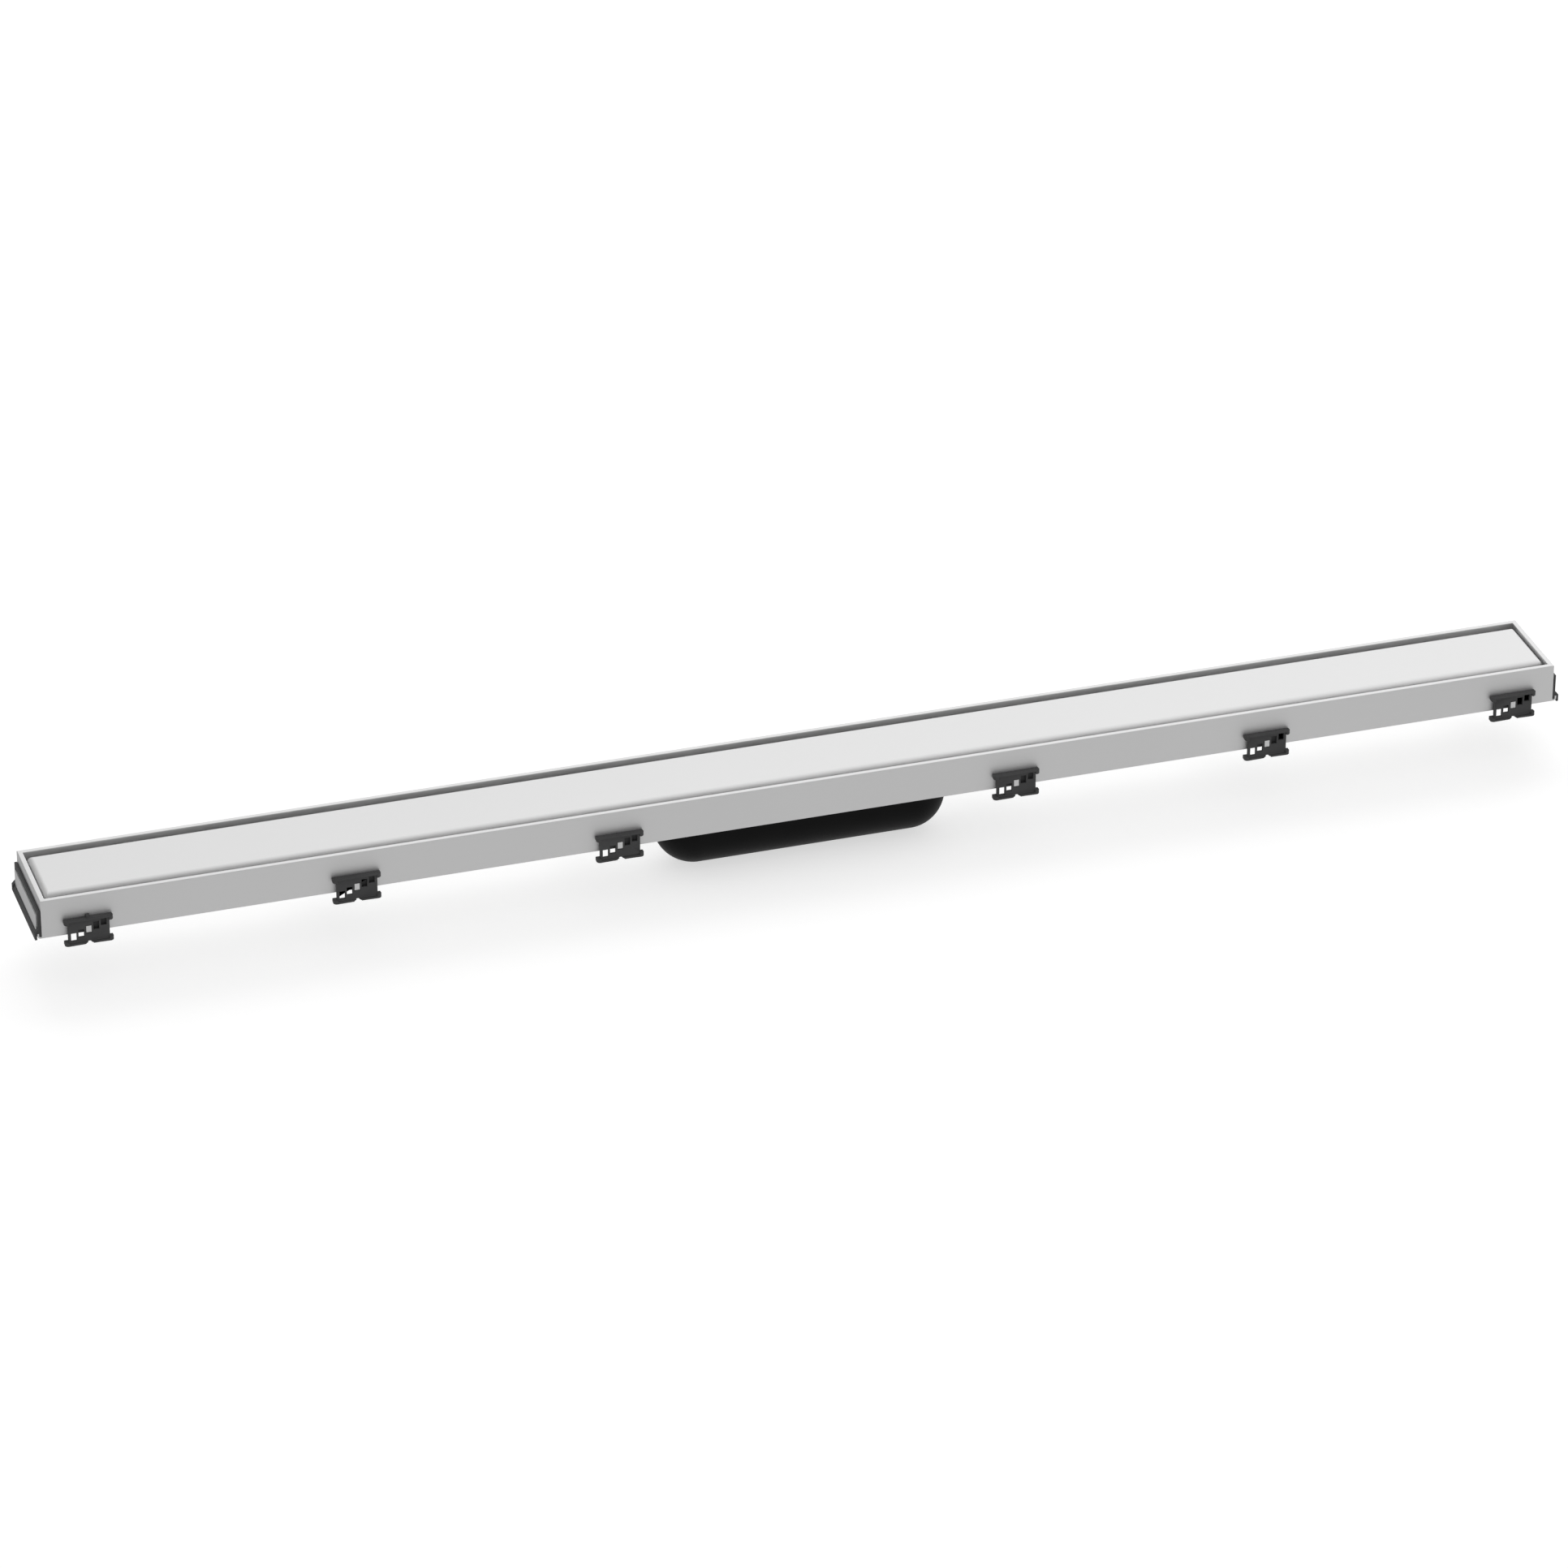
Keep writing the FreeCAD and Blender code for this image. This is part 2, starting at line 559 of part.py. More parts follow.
def clip_plate(body, name, level, thickness, reverse):
    sketch = new_sketch(body, name + "_outline", "XY_Plane", level)
    back, front = "-clip_gap", "-clip_gap - clip_depth"
    draw(sketch, rounded([
        ("-clip_width / 2", front, "clip_corner"), ("clip_width / 2", front, "clip_corner"),
        ("clip_width / 2", back), ("-clip_width / 2", back)]))
    pad(body, name, sketch, thickness, reverse=reverse)
    # a thicker ear at each end
    sketch = new_sketch(body, name + "_ear_outlines", "XY_Plane", level)
    draw(sketch, rounded([
        ("clip_width / 2 - ear_width", front), ("clip_width / 2", front, "clip_corner"),
        ("clip_width / 2", back), ("clip_width / 2 - ear_width", back)]))
    draw(sketch, rounded([
        ("-clip_width / 2", front, "clip_corner"), ("ear_width - clip_width / 2", front),
        ("ear_width - clip_width / 2", back), ("-clip_width / 2", back)]))
    pad(body, name + "_ears", sketch, "ear_height", reverse=reverse)


def make_clip(label, x, y, turn, with_nub=False):
    body = new_body(label)
    clip_plate(body, "head", "-clip_top", "clip_head", True)
    clip_plate(body, "foot", clip_bottom, "clip_foot", False)
    sketch = new_sketch(body, "web_outline", "XZ_Plane", "web_gap")
    draw(sketch, [("-web_width / 2", clip_bottom), ("web_width / 2", clip_bottom),
                  ("web_width / 2", "-clip_top"), ("-web_width / 2", "-clip_top")])
    web = pad(body, "web", sketch, "web_sheet")

    # five windows in steps: the hook carries the clip in the one that gives the wanted height
    front = value("-web_gap - web_sheet")
    levels = [value("-clip_top - clip_head"), value(f"{clip_bottom} + clip_foot")]

    def is_root(edge):
        level = edge.CenterOfMass
        return abs(level.y - front) < 1e-4 and any(at_height(edge, height) for height in levels)

    fillet(body, "web_roots", web, is_root, "web_fillet")
    sketch = new_sketch(body, "window_outlines", "XZ_Plane")
    half = "(hook_width / 2 + window_gap)"
    count = int(value("windows_each_way"))
    for step in range(-count, count + 1):
        middle, sill = f"{step} * window_pitch", f"({step} * window_step - frame_height + hook_lift)"
        draw(sketch, [(f"{middle} - {half}", sill), (f"{middle} + {half}", sill),
                      (f"{middle} + {half}", f"{sill} + hook_height + window_gap"),
                      (f"{middle} - {half}", f"{sill} + hook_height + window_gap")])
    pocket(body, "windows", sketch, "web_gap + web_sheet + web_fillet", reverse=True)
    sketch = new_sketch(body, "notch_outline", "XZ_Plane")
    add_circle(sketch, "0", f"{clip_bottom} - notch_drop", "notch_radius")
    pocket(body, "notch", sketch, "2 * clip_depth", reverse=True)
    if with_nub:
        sketch = new_sketch(body, "nub_outline", "XY_Plane", "-clip_top")
        near, far = "-clip_gap", "-clip_gap - nub_depth"
        draw(sketch, [("-nub_width / 2", far), ("nub_width / 2", far),
                      ("nub_width / 2", near), ("-nub_width / 2", near)])
        pad(body, "nub", sketch, "nub_height")
    place(body, x, y, turn)
    return body


def place(body, x, y, turn):
    body.Placement = Placement(Vector(0, 0, 0), Rotation(Vector(0, 0, 1), turn))
    body.setExpression("Placement.Base.x", bound(x))
    body.setExpression("Placement.Base.y", bound(y))


# ---- end holders: drawn against a wall in the plane x = 0, standing out towards -X ----
def make_holder(label, x, turn):
    body = new_body(label)
    half_span, wall = f"({half_width} - holder_gap)", "-holder_gap"
    face, web_face = "(-holder_gap - holder_sheet)", "(-holder_gap - holder_web)"
    seat, shoulder_low = "(-frame_height + frame_sheet)", "(-frame_height + lip_foot + 2 * holder_gap)"
    foot_in, foot_out = "(-lip_reach - holder_gap)", "(-lip_reach - holder_gap - holder_foot)"

    sketch = new_sketch(body, "web_outline", "XZ_Plane")
    draw(sketch, rounded([(web_face, seat, "lip_bend - frame_sheet"), (wall, seat), (wall, "-holder_top"),
                          (web_face, "-holder_top")]))
    pad(body, "web", sketch, f"2 * {half_span}", both=True)
    sketch = new_sketch(body, "head_outline", "XZ_Plane")
    draw(sketch, [(face, "-holder_top - holder_head"), (wall, "-holder_top - holder_head"),
                  (wall, "-holder_top"), (face, "-holder_top")])
    pad(body, "head", sketch, f"2 * {half_span}", both=True)
    sketch = new_sketch(body, "foot_outline", "XZ_Plane")
    draw(sketch, [(foot_out, "-frame_height - holder_drop"), (foot_in, "-frame_height - holder_drop"),
                  (foot_in, shoulder_low), (foot_out, f"{shoulder_low} - holder_slope")])
    pad(body, "foot", sketch, f"2 * {half_span}", both=True)

    # a post at each end comes down past the lip's upright and steps out over its foot
    for name, offset, reverse in (("front", half_span, False), ("back", f"-{half_span}", True)):
        sketch = new_sketch(body, f"post_outline_{name}", "XZ_Plane", offset)
        draw(sketch, [
            (wall, shoulder_low), (wall, "-holder_top"), (face, "-holder_top"), (face, "-holder_shoulder"),
            (foot_out, shoulder_low), (foot_out, f"{shoulder_low} - holder_slope"),
            (foot_in, f"{shoulder_low} - holder_slope"), (foot_in, shoulder_low)][::-1])
        pad(body, f"post_{name}", sketch, "holder_post", reverse=not reverse)
    place(body, x, "0", turn)
    return body


# ---- the set ----
pieces = [make_frame(), make_tray()]
for index, spot in enumerate(spots_each_way(f"{bar_pitch} / 2", bar_pitch, "bars_each_way"), start=1):
    pieces += [make_bar(index, spot), make_saddle(index, spot)]
pieces += [make_cover(), make_strainer(), make_insert(), make_seal(), make_sump(), make_gasket(),
           make_screws()]
for index, spot in enumerate(spots_each_way(hook_first, hook_pitch, "hooks_each_way"), start=1):
    pieces.append(make_clip(f"clip_front_{index}", spot, f"-{half_width}", 0, with_nub=index == 1))
    pieces.append(make_clip(f"clip_back_{index}", spot, half_width, 180))
pieces.append(make_holder("end_holder_left", f"-{half_length}", 0))
pieces.append(make_holder("end_holder_right", half_length, 180))
doc.recompute()

for item in doc.Objects:
    if "Invalid" in item.State or "Error" in item.State:
        raise RuntimeError(f"{item.Label} did not recompute: {item.State}")
for piece in pieces:
    if piece.Shape.isNull() or not piece.Shape.isValid():
        raise RuntimeError(f"{piece.Label} has no valid shape")
    piece.Shape.exportStep(f"parts/{piece.Label}.step")
    print(piece.Label, len(piece.Shape.Solids), round(piece.Shape.Volume))
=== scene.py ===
# Shower channel drain: finishes, softened mouldings, light and view. Everything is in metres.
import math

import bmesh
import bpy
import numpy as np
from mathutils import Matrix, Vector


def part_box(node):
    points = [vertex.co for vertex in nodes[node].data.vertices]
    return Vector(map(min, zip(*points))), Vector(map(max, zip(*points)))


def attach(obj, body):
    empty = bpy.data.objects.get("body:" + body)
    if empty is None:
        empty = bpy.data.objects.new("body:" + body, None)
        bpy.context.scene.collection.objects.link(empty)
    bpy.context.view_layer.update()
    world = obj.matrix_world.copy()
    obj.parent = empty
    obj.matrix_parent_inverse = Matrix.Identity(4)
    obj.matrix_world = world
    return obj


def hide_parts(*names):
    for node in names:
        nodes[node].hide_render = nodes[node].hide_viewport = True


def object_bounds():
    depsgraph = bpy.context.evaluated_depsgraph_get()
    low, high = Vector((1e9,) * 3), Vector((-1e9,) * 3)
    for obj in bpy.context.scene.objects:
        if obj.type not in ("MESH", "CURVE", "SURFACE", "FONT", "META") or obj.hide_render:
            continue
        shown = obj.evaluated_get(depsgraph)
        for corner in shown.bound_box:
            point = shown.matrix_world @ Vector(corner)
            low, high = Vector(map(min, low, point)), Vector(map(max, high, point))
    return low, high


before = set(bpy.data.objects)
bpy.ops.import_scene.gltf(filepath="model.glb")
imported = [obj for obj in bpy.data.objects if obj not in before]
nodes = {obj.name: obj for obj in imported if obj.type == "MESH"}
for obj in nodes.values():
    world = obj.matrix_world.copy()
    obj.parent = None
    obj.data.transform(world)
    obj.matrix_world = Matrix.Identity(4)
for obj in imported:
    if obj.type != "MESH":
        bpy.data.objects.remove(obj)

cadBox = [list(corner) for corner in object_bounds()]
collection = bpy.context.scene.collection

# the view: a long lens from the front left, looking down along the channel
camera = {"place": (-1.51823, -4.72499, 2.76667), "tilt": 29.352, "turn": 17.6525, "lens": 171.831,
          "sensor": 36, "nearest": 0.1, "farthest": 60}

lens = bpy.data.cameras.new("viewLens")
lens.lens = camera["lens"]
lens.sensor_width = camera["sensor"]
lens.clip_start = camera["nearest"]
lens.clip_end = camera["farthest"]
viewer = bpy.data.objects.new("viewer", lens)
viewer.location = camera["place"]
viewer.rotation_euler = (math.radians(90 - camera["tilt"]), 0, math.radians(-camera["turn"]))
collection.objects.link(viewer)
bpy.context.scene.camera = viewer
bpy.context.scene.view_settings.view_transform = "Standard"


# the middle range of a noise pattern, where nearly all of it lies
patternRange = {"low": 0.3, "high": 0.7}


class Graph:
    # a node tree with short calls for adding nodes and joining sockets
    def __init__(self, tree):
        self.tree = tree
        self.tree.nodes.clear()

    def add(self, kind, sockets=None, **settings):
        node = self.tree.nodes.new(kind)
        for name, value in settings.items():
            setattr(node, name, value)
        for socket, value in (sockets or {}).items():
            node.inputs[socket].default_value = value
        return node

    def join(self, source, output, target, socket):
        self.tree.links.new(source.outputs[output], target.inputs[socket])

    def noise(self, place, scale, detail=2.0, stretch=(1, 1, 1)):
        sized = self.add("ShaderNodeMapping", {"Scale": stretch})
        self.join(place, "Object", sized, "Vector")
        pattern = self.add("ShaderNodeTexNoise", {"Scale": scale, "Detail": detail})
        self.join(sized, "Vector", pattern, "Vector")
        return pattern

    def spread(self, source, output, low, high):
        # maps the middle range of a pattern onto low to high
        span = self.add("ShaderNodeMapRange", {"From Min": patternRange["low"],
                                               "From Max": patternRange["high"],
                                               "To Min": low, "To Max": high})
        self.join(source, output, span, "Value")
        return span

    def tint(self, tone, shade):
        # the tone, lightened and darkened by the shade
        mixed = self.add("ShaderNodeMix", {0: 1.0, 6: (*tone, 1)}, data_type="RGBA", blend_type="MULTIPLY")
        self.join(shade, 0, mixed, 7)
        return mixed

    def bump(self, pattern, strength, depth):
        raised = self.add("ShaderNodeBump", {"Strength": strength, "Distance": depth})
        self.join(pattern, "Fac", raised, "Height")
        return raised

    def finish(self, surface, kind="Material"):
        out = self.add(f"ShaderNodeOutput{kind}")
        self.join(surface, 0, out, "Surface")

    def whereSeen(self):
        # 1 for what the view, a polished surface or glass shows, 0 for what only lights the object
        ray = self.add("ShaderNodeLightPath")
        either = self.add("ShaderNodeMath", operation="MAXIMUM")
        self.join(ray, "Is Camera Ray", either, 0)
        self.join(ray, "Is Glossy Ray", either, 1)
        seen = self.add("ShaderNodeMath", operation="MAXIMUM")
        self.join(either, 0, seen, 0)
        self.join(ray, "Is Transmission Ray", seen, 1)
        return seen


def material(name):
    made = bpy.data.materials.new(name)
    made.use_nodes = True
    return made, Graph(made.node_tree)


# satin steel: soft clouds in tone and roughness, and a very fine grain drawn along the channel
steelFinish = {"tone": (0.80, 0.80, 0.80), "cloud": 0.012, "rough": (0.51, 0.57), "grain": 0.012}
traySteelFinish = {"tone": (0.76, 0.76, 0.755), "cloud": 0.03, "rough": (0.40, 0.50), "grain": 0.02}
screwFinish = {"tone": (0.62, 0.62, 0.615), "cloud": 0.02, "rough": (0.26, 0.36), "grain": 0.01}
steelTexture = {"cloudSize": 9, "detail": 3, "grainSize": 1, "grainStretch": (60, 2600, 2600),
                "grainShare": 0.4, "grainDepth": 0.0004}


def steel(name, finish):
    made, graph = material(name)
    place = graph.add("ShaderNodeTexCoord")
    surface = graph.add("ShaderNodeBsdfPrincipled", {"Metallic": 1.0})
    clouds = graph.noise(place, steelTexture["cloudSize"], steelTexture["detail"])
    grain = graph.noise(place, steelTexture["grainSize"], steelTexture["detail"],
                        steelTexture["grainStretch"])
    tone = graph.spread(clouds, "Fac", 1 - finish["cloud"], 1 + finish["cloud"])
    graph.join(graph.tint(finish["tone"], tone), 2, surface, "Base Color")
    mixed = graph.add("ShaderNodeMix", {0: steelTexture["grainShare"]}, data_type="FLOAT")
    graph.join(clouds, "Fac", mixed, 2)
    graph.join(grain, "Fac", mixed, 3)
    graph.join(graph.spread(mixed, 0, *finish["rough"]), 0, surface, "Roughness")
    graph.join(graph.bump(grain, finish["grain"], steelTexture["grainDepth"]), 0, surface, "Normal")
    graph.finish(surface)
    return made


# moulded plastic: a fine eroded texture, with slow tone drift where the melt has flowed
clipFinish = {"tone": (0.074, 0.074, 0.075), "drift": 0.10, "rough": (0.50, 0.62), "shine": 0.25,
              "texture": 0.10, "size": 1500}
sumpFinish = {"tone": (0.0052, 0.0052, 0.0053), "drift": 0.14, "rough": (0.42, 0.54), "shine": 0.10,
              "texture": 0.12, "size": 1100}
trapFinish = {"tone": (0.030, 0.030, 0.031), "drift": 0.10, "rough": (0.36, 0.46), "shine": 0.4,
              "texture": 0.06, "size": 1500}
rubberFinish = {"tone": (0.020, 0.020, 0.020), "drift": 0.16, "rough": (0.72, 0.85), "shine": 0.3,
                "texture": 0.14, "size": 900}
mouldTexture = {"flowSize": 42, "flowStretch": (1, 1, 2.2), "detail": 2, "depth": 0.00025}


def moulded(name, finish):
    made, graph = material(name)
    place = graph.add("ShaderNodeTexCoord")
    surface = graph.add("ShaderNodeBsdfPrincipled", {"Specular IOR Level": finish["shine"]})
    flow = graph.noise(place, mouldTexture["flowSize"], mouldTexture["detail"], mouldTexture["flowStretch"])
    fine = graph.noise(place, finish["size"], mouldTexture["detail"])
    tone = graph.spread(flow, "Fac", 1 - finish["drift"], 1 + finish["drift"])
    graph.join(graph.tint(finish["tone"], tone), 2, surface, "Base Color")
    graph.join(graph.spread(fine, "Fac", *finish["rough"]), 0, surface, "Roughness")
    graph.join(graph.bump(fine, finish["texture"], mouldTexture["depth"]), 0, surface, "Normal")
    graph.finish(surface)
    return made


satinSteel = steel("satinSteel", steelFinish)
traySteel = steel("traySteel", traySteelFinish)
screwSteel = steel("screwSteel", screwFinish)
clipPlastic = moulded("clipPlastic", clipFinish)
sumpPlastic = moulded("sumpPlastic", sumpFinish)
trapPlastic = moulded("trapPlastic", trapFinish)
sealRubber = moulded("sealRubber", rubberFinish)
print("finishes made")

finishOf = {
    "frame": satinSteel, "cover_plate": satinSteel, "channel_tray": traySteel, "strainer": traySteel,
    "sump": sumpPlastic, "trap_insert": trapPlastic, "trap_seal": sealRubber, "sump_gasket": sealRubber,
    "sump_screws": screwSteel, "cross_bar": traySteel, "cover_saddle": sealRubber,
    "clip": clipPlastic, "end_holder": clipPlastic,
}


def finishFor(name):
    return next(finish for start, finish in finishOf.items() if name.startswith(start))


for name, node in nodes.items():
    node.data.materials.clear()
    node.data.materials.append(finishFor(name))

# mouldings whose edges are rounded a little, as they come from the mould
softening = {"merge": 1e-6, "flat": 1.0, "angle": 40, "shortest": 0.0012, "steps": 2,
             "round": {"clip": 0.0004, "end_holder": 0.0003}}


def rounded(name, width):
    # a merged copy of the node with a bevel of that width along its long outer edges
    shape = bmesh.new()
    shape.from_mesh(nodes[name].data)
    bmesh.ops.remove_doubles(shape, verts=shape.verts, dist=softening["merge"])
    bmesh.ops.dissolve_limit(shape, angle_limit=math.radians(softening["flat"]), verts=shape.verts,
                             edges=shape.edges)
    sharpest = math.radians(softening["angle"])
    weight = shape.edges.layers.float.new("bevel_weight_edge")
    for edge in shape.edges:
        outer = edge.is_manifold and edge.is_convex and edge.calc_face_angle() > sharpest
        edge[weight] = float(outer and edge.calc_length() > softening["shortest"])
    mesh = bpy.data.meshes.new(name + "_rounded")
    shape.to_mesh(mesh)
    shape.free()
    mesh.shade_smooth()
    mesh.set_sharp_from_angle(angle=sharpest)
    mesh.materials.append(finishFor(name))
    piece = bpy.data.objects.new(name + "_rounded", mesh)
    collection.objects.link(piece)
    edges = piece.modifiers.new("edges", "BEVEL")
    edges.width = width
    edges.segments = softening["steps"]
    edges.limit_method = "WEIGHT"
    edges.use_clamp_overlap = False
    edges.harden_normals = True
    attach(piece, "root")
    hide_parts(name)


for start, width in softening["round"].items():
    for name in sorted(nodes):
        if name.startswith(start):
            rounded(name, width)
print("mouldings rounded")

# the cover: a sheet bent down all round, its corners closed with a fine seam along each mitre
cover = {"bend": 0.0045, "sheet": 0.0015, "arcSteps": 10, "cornerRadius": 0.0016, "leastRadius": 0.0002,
         "cornerSteps": 8, "seam": 0.0004, "seamNarrowness": 3}


def coverSurface(values, low, high):
    # profile: flat edge, quarter bend, flange down, hem edge, flange up, inner bend, flat edge;
    # each point (inset, height) runs round a rectangle with corner arcs, and the seam dips at their middle
    bend, sheet = values["bend"], values["sheet"]
    turn = np.linspace(0, math.pi / 2, values["arcSteps"] + 1)
    back = turn[::-1]
    inner = bend - sheet
    inset = np.concatenate([bend - bend * np.sin(turn), [0, sheet], bend - inner * np.sin(back)])
    height = np.concatenate([high[2] - bend * (1 - np.cos(turn)), [low[2], low[2]],
                             high[2] - bend + inner * np.cos(back)])
    share = 1 - inset / bend
    radius = values["leastRadius"] + (values["cornerRadius"] - values["leastRadius"]) * share
    sweep = np.linspace(0, math.pi / 2, values["cornerSteps"] + 1)
    spread = np.linspace(-1, 1, len(sweep)) * values["seamNarrowness"]
    dip = values["seam"] * np.exp(-(spread ** 2))
    halfLong, halfWide = (high[0] - low[0]) / 2, (high[1] - low[1]) / 2
    middle = np.array([(high[0] + low[0]) / 2, (high[1] + low[1]) / 2])
    rings = []
    for quarter in range(4):
        bearing = sweep + quarter * math.pi / 2
        side = np.sign(np.array([math.cos(bearing.mean()), math.sin(bearing.mean())]))
        reach = radius[:, None] - dip[None, :] * share[:, None]
        across = side[0] * (halfLong - inset - radius)[:, None] + reach * np.cos(bearing)[None, :]
        along = side[1] * (halfWide - inset - radius)[:, None] + reach * np.sin(bearing)[None, :]
        rings.append(np.stack([across + middle[0], along + middle[1],
                               np.repeat(height[:, None], len(sweep), axis=1)], axis=-1))
    return np.concatenate(rings, axis=1)


def closedBand(name, grid):
    # a grid of rings, closed round, with its first and last ring filled
    rows, columns = grid.shape[:2]
    row, column = np.meshgrid(np.arange(rows - 1), np.arange(columns), indexing="ij")
    following = (column + 1) % columns
    quads = np.stack([row * columns + column, (row + 1) * columns + column,
                      (row + 1) * columns + following, row * columns + following], axis=-1)
    faces = quads.reshape(-1, 4).tolist()
    faces.append(list(range(columns)))
    faces.append([(rows - 1) * columns + spot for spot in reversed(range(columns))])
    mesh = bpy.data.meshes.new(name)
    mesh.from_pydata(grid.reshape(-1, 3).tolist(), [], faces)
    mesh.shade_smooth()
    mesh.set_sharp_from_angle(angle=math.radians(softening["angle"]))
    return mesh


coverMesh = closedBand("cover_skin", coverSurface(cover, *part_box("cover_plate")))
coverMesh.materials.append(satinSteel)
coverSkin = bpy.data.objects.new("cover_skin", coverMesh)
collection.objects.link(coverSkin)
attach(coverSkin, "root")
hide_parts("cover_plate")
print("cover closed at its corners")

# painted shade: thin dark pads on the walls behind the clips' windows, notched round the hooks, standing in
# for the deep shade on the steel there
shadePad = {"gap": 0.0002, "start": 0.00005, "sheet": 0.0004, "side": 0.0033, "top": 0.0014,
       "bottom": 0.0003, "notchHalf": 0.0024, "notchTop": 0.0019}


def makeShadePad(name, values, headHeight):
    # the outline in the wall's plane, carried across its thickness as a ring at each face
    clipLow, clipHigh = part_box(name)
    middle = (clipLow[0] + clipHigh[0]) / 2
    facing = 1 if clipLow[1] > 0 else -1
    wall = min(abs(clipLow[1]), abs(clipHigh[1])) - values["gap"]
    half = (clipHigh[0] - clipLow[0]) / 2 - values["side"]
    top = headHeight - values["top"]
    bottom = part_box("frame")[0][2] + values["bottom"]
    notch, notchTop = values["notchHalf"], bottom + values["notchTop"]
    across = np.array([-half, -notch, -notch, notch, notch, half, half, -half]) + middle
    rise = np.array([bottom, bottom, notchTop, notchTop, bottom, bottom, top, top])
    depth = facing * (wall + np.array([values["start"], values["sheet"]]))
    grid = np.stack([np.stack([across, np.full(len(across), place), rise], axis=-1) for place in depth])
    shadePadMesh = closedBand(name.replace("clip", "clip_shade_pad"), grid if facing > 0 else grid[::-1])
    # painted shade: the pad's dark plastic colour stands in for the shade on the steel wall behind the
    # windows
    shadePadMesh.materials.append(clipPlastic)
    piece = bpy.data.objects.new(shadePadMesh.name, shadePadMesh)
    collection.objects.link(piece)
    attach(piece, "root")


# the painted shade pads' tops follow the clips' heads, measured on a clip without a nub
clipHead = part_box("clip_front_2")[1][2]
for name in sorted(nodes):
    if name.startswith("clip_"):
        makeShadePad(name, shadePad, clipHead)
print("pads behind the clips")

# floor and surround: white to the view, plainly lit for the object, with the object's shadow kept
studio = {"floor": 0.60, "lift": 0.60, "ambient": 0.59, "drop": 0.0002, "halfFloor": 9.0}
lowest = cadBox[0][2] - studio["drop"]


def sheetMesh(name, low, high, level):
    mesh = bpy.data.meshes.new(name)
    mesh.from_pydata([(low[0], low[1], level), (high[0], low[1], level), (high[0], high[1], level),
                      (low[0], high[1], level)], [], [(0, 1, 2, 3)])
    return mesh


def makeFloor(values):
    edge = values["halfFloor"]
    floor = bpy.data.objects.new("floor", sheetMesh("floor", (-edge, -edge), (edge, edge), lowest))
    collection.objects.link(floor)
    finish, graph = material("floorFinish")
    card = graph.add("ShaderNodeBsdfDiffuse", {"Color": (values["floor"],) * 3 + (1,)})
    lift = graph.add("ShaderNodeMixShader")
    graph.join(graph.whereSeen(), 0, lift, 0)
    graph.join(graph.add("ShaderNodeEmission", {"Strength": 0.0}), 0, lift, 1)
    graph.join(graph.add("ShaderNodeEmission", {"Strength": values["lift"]}), 0, lift, 2)
    total = graph.add("ShaderNodeAddShader")
    graph.join(card, 0, total, 0)
    graph.join(lift, 0, total, 1)
    graph.finish(total)
    floor.data.materials.append(finish)


def makeSurround(values):
    world = bpy.data.worlds.new("surround")
    world.use_nodes = True
    bpy.context.scene.world = world
    graph = Graph(world.node_tree)
    whole = (1, 1, 1, 1)
    shown = graph.add("ShaderNodeMixShader")
    graph.join(graph.whereSeen(), 0, shown, 0)
    plain = graph.add("ShaderNodeBackground", {"Color": whole, "Strength": values["ambient"]})
    white = graph.add("ShaderNodeBackground", {"Color": whole, "Strength": 1.0})
    graph.join(plain, 0, shown, 1)
    graph.join(white, 0, shown, 2)
    graph.finish(shown, "World")


makeFloor(studio)
makeSurround(studio)


def reflector(piece, finish):
    # a studio reflector that only polished surfaces show, in front of the white floor and surround
    piece.data.materials.append(finish)
    collection.objects.link(piece)
    piece.visible_camera = piece.visible_diffuse = piece.visible_transmission = piece.visible_shadow = False


# a dome whose brightness grows towards the far right: base plus slope times the direction
dome = {"radius": 9.0, "base": 0.42, "slope": (0.72, 0.40, 0.46), "least": 0.25, "most": 1.16, "rings": 12,
        "sectors": 48}


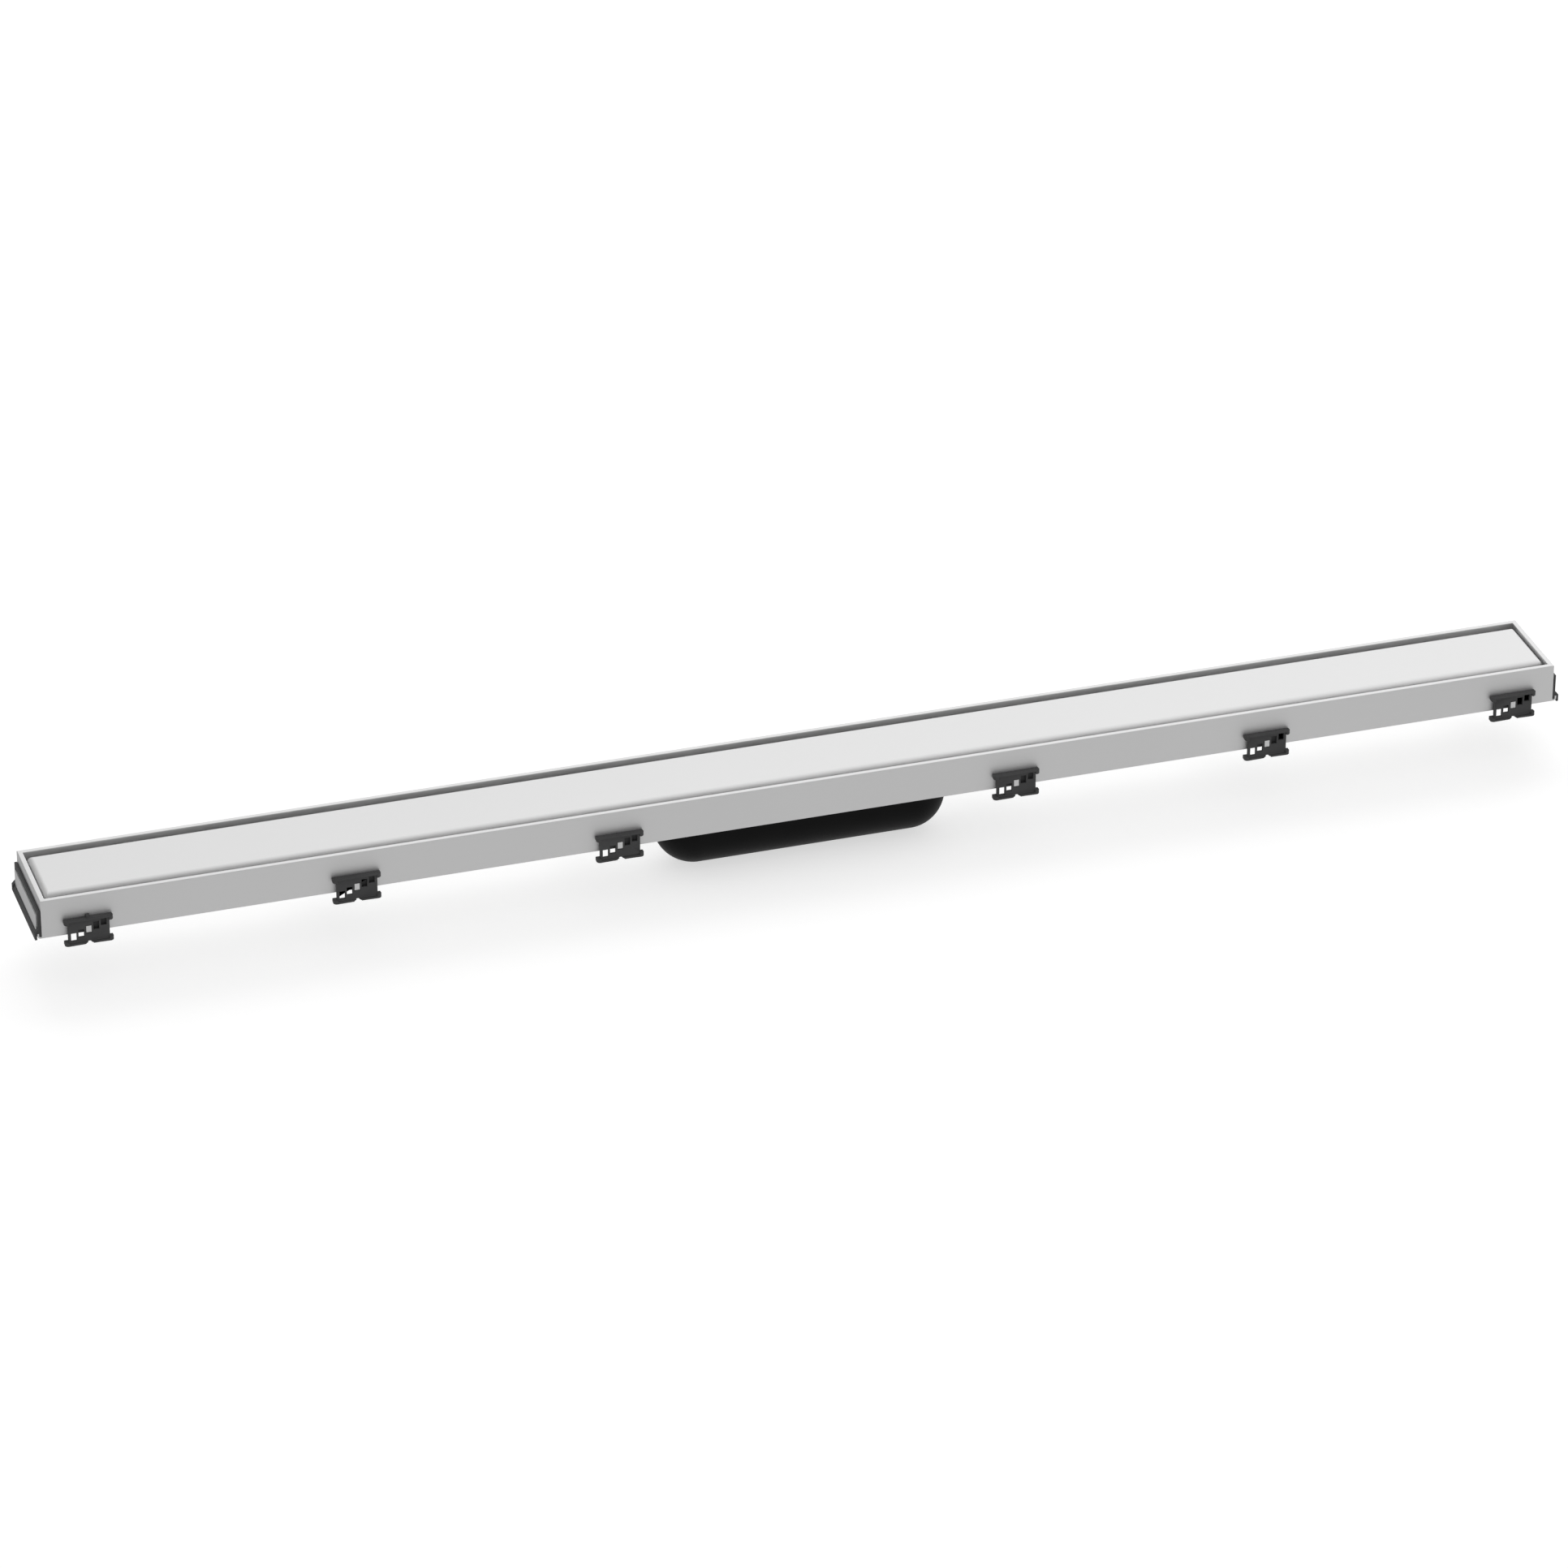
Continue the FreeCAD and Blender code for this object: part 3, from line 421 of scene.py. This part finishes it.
def makeDome(values):
    # half sphere: x, y = radius cos e (cos a, sin a) and z = radius sin e over elevation e and azimuth a
    rise, bearing = np.meshgrid(np.linspace(0, math.pi / 2, values["rings"] + 1),
                                np.arange(values["sectors"]) * 2 * math.pi / values["sectors"], indexing="ij")
    grid = np.stack([np.cos(rise) * np.cos(bearing), np.cos(rise) * np.sin(bearing), np.sin(rise)], axis=-1)
    points = values["radius"] * grid.reshape(-1, 3) + (0, 0, lowest)
    row, column = np.meshgrid(np.arange(values["rings"]), np.arange(values["sectors"]), indexing="ij")
    following = (column + 1) % values["sectors"]
    here, above = row * values["sectors"], (row + 1) * values["sectors"]
    quads = np.stack([here + column, above + column, above + following, here + following], axis=-1)
    mesh = bpy.data.meshes.new("dome")
    mesh.from_pydata(points.tolist(), [], quads.reshape(-1, 4).tolist())
    finish, graph = material("domeFinish")
    toward = graph.add("ShaderNodeVectorMath", operation="NORMALIZE")
    graph.join(graph.add("ShaderNodeTexCoord"), "Object", toward, 0)
    along = graph.add("ShaderNodeVectorMath", {1: values["slope"]}, operation="DOT_PRODUCT")
    graph.join(toward, 0, along, 0)
    level = graph.add("ShaderNodeMath", {1: values["base"]}, operation="ADD")
    graph.join(along, "Value", level, 0)
    kept = graph.add("ShaderNodeClamp", {"Min": values["least"], "Max": values["most"]})
    graph.join(level, 0, kept, "Value")
    glow = graph.add("ShaderNodeEmission")
    graph.join(kept, 0, glow, "Strength")
    graph.finish(glow)
    reflector(bpy.data.objects.new("dome", mesh), finish)


makeDome(dome)

# grey cards lying on the floor round the channel, with a darker one at its left end
cards = {"reach": 8.0, "gap": 0.0001, "round": 0.62, "left": 0.50}


def makeCard(name, low, high, rise, level):
    finish, graph = material(name + "Finish")
    graph.finish(graph.add("ShaderNodeEmission", {"Strength": level}))
    reflector(bpy.data.objects.new(name, sheetMesh(name, low, high, lowest + rise)), finish)


edge, gap = cards["reach"], cards["gap"]
makeCard("roundCard", (-edge, -edge), (edge, edge), gap / 2, cards["round"])
makeCard("leftCard", (-edge, -edge), (cadBox[0][0], edge), gap, cards["left"])

# a wide soft box over the far side of the channel
softBox = {"place": (1.1, 3.1, 2.9), "size": (4.6, 3.0), "power": 74.0}


def makeSoftBox(values):
    light = bpy.data.lights.new("softBox", "AREA")
    light.shape = "RECTANGLE"
    light.size, light.size_y = values["size"]
    light.energy = values["power"]
    lamp = bpy.data.objects.new("softBox", light)
    lamp.location = values["place"]
    away = np.array(values["place"]) / np.linalg.norm(values["place"])
    lamp.rotation_euler = (math.acos(away[2]), 0, math.atan2(away[0], -away[1]))
    lamp.visible_glossy = False
    collection.objects.link(lamp)


makeSoftBox(softBox)
print("studio set")
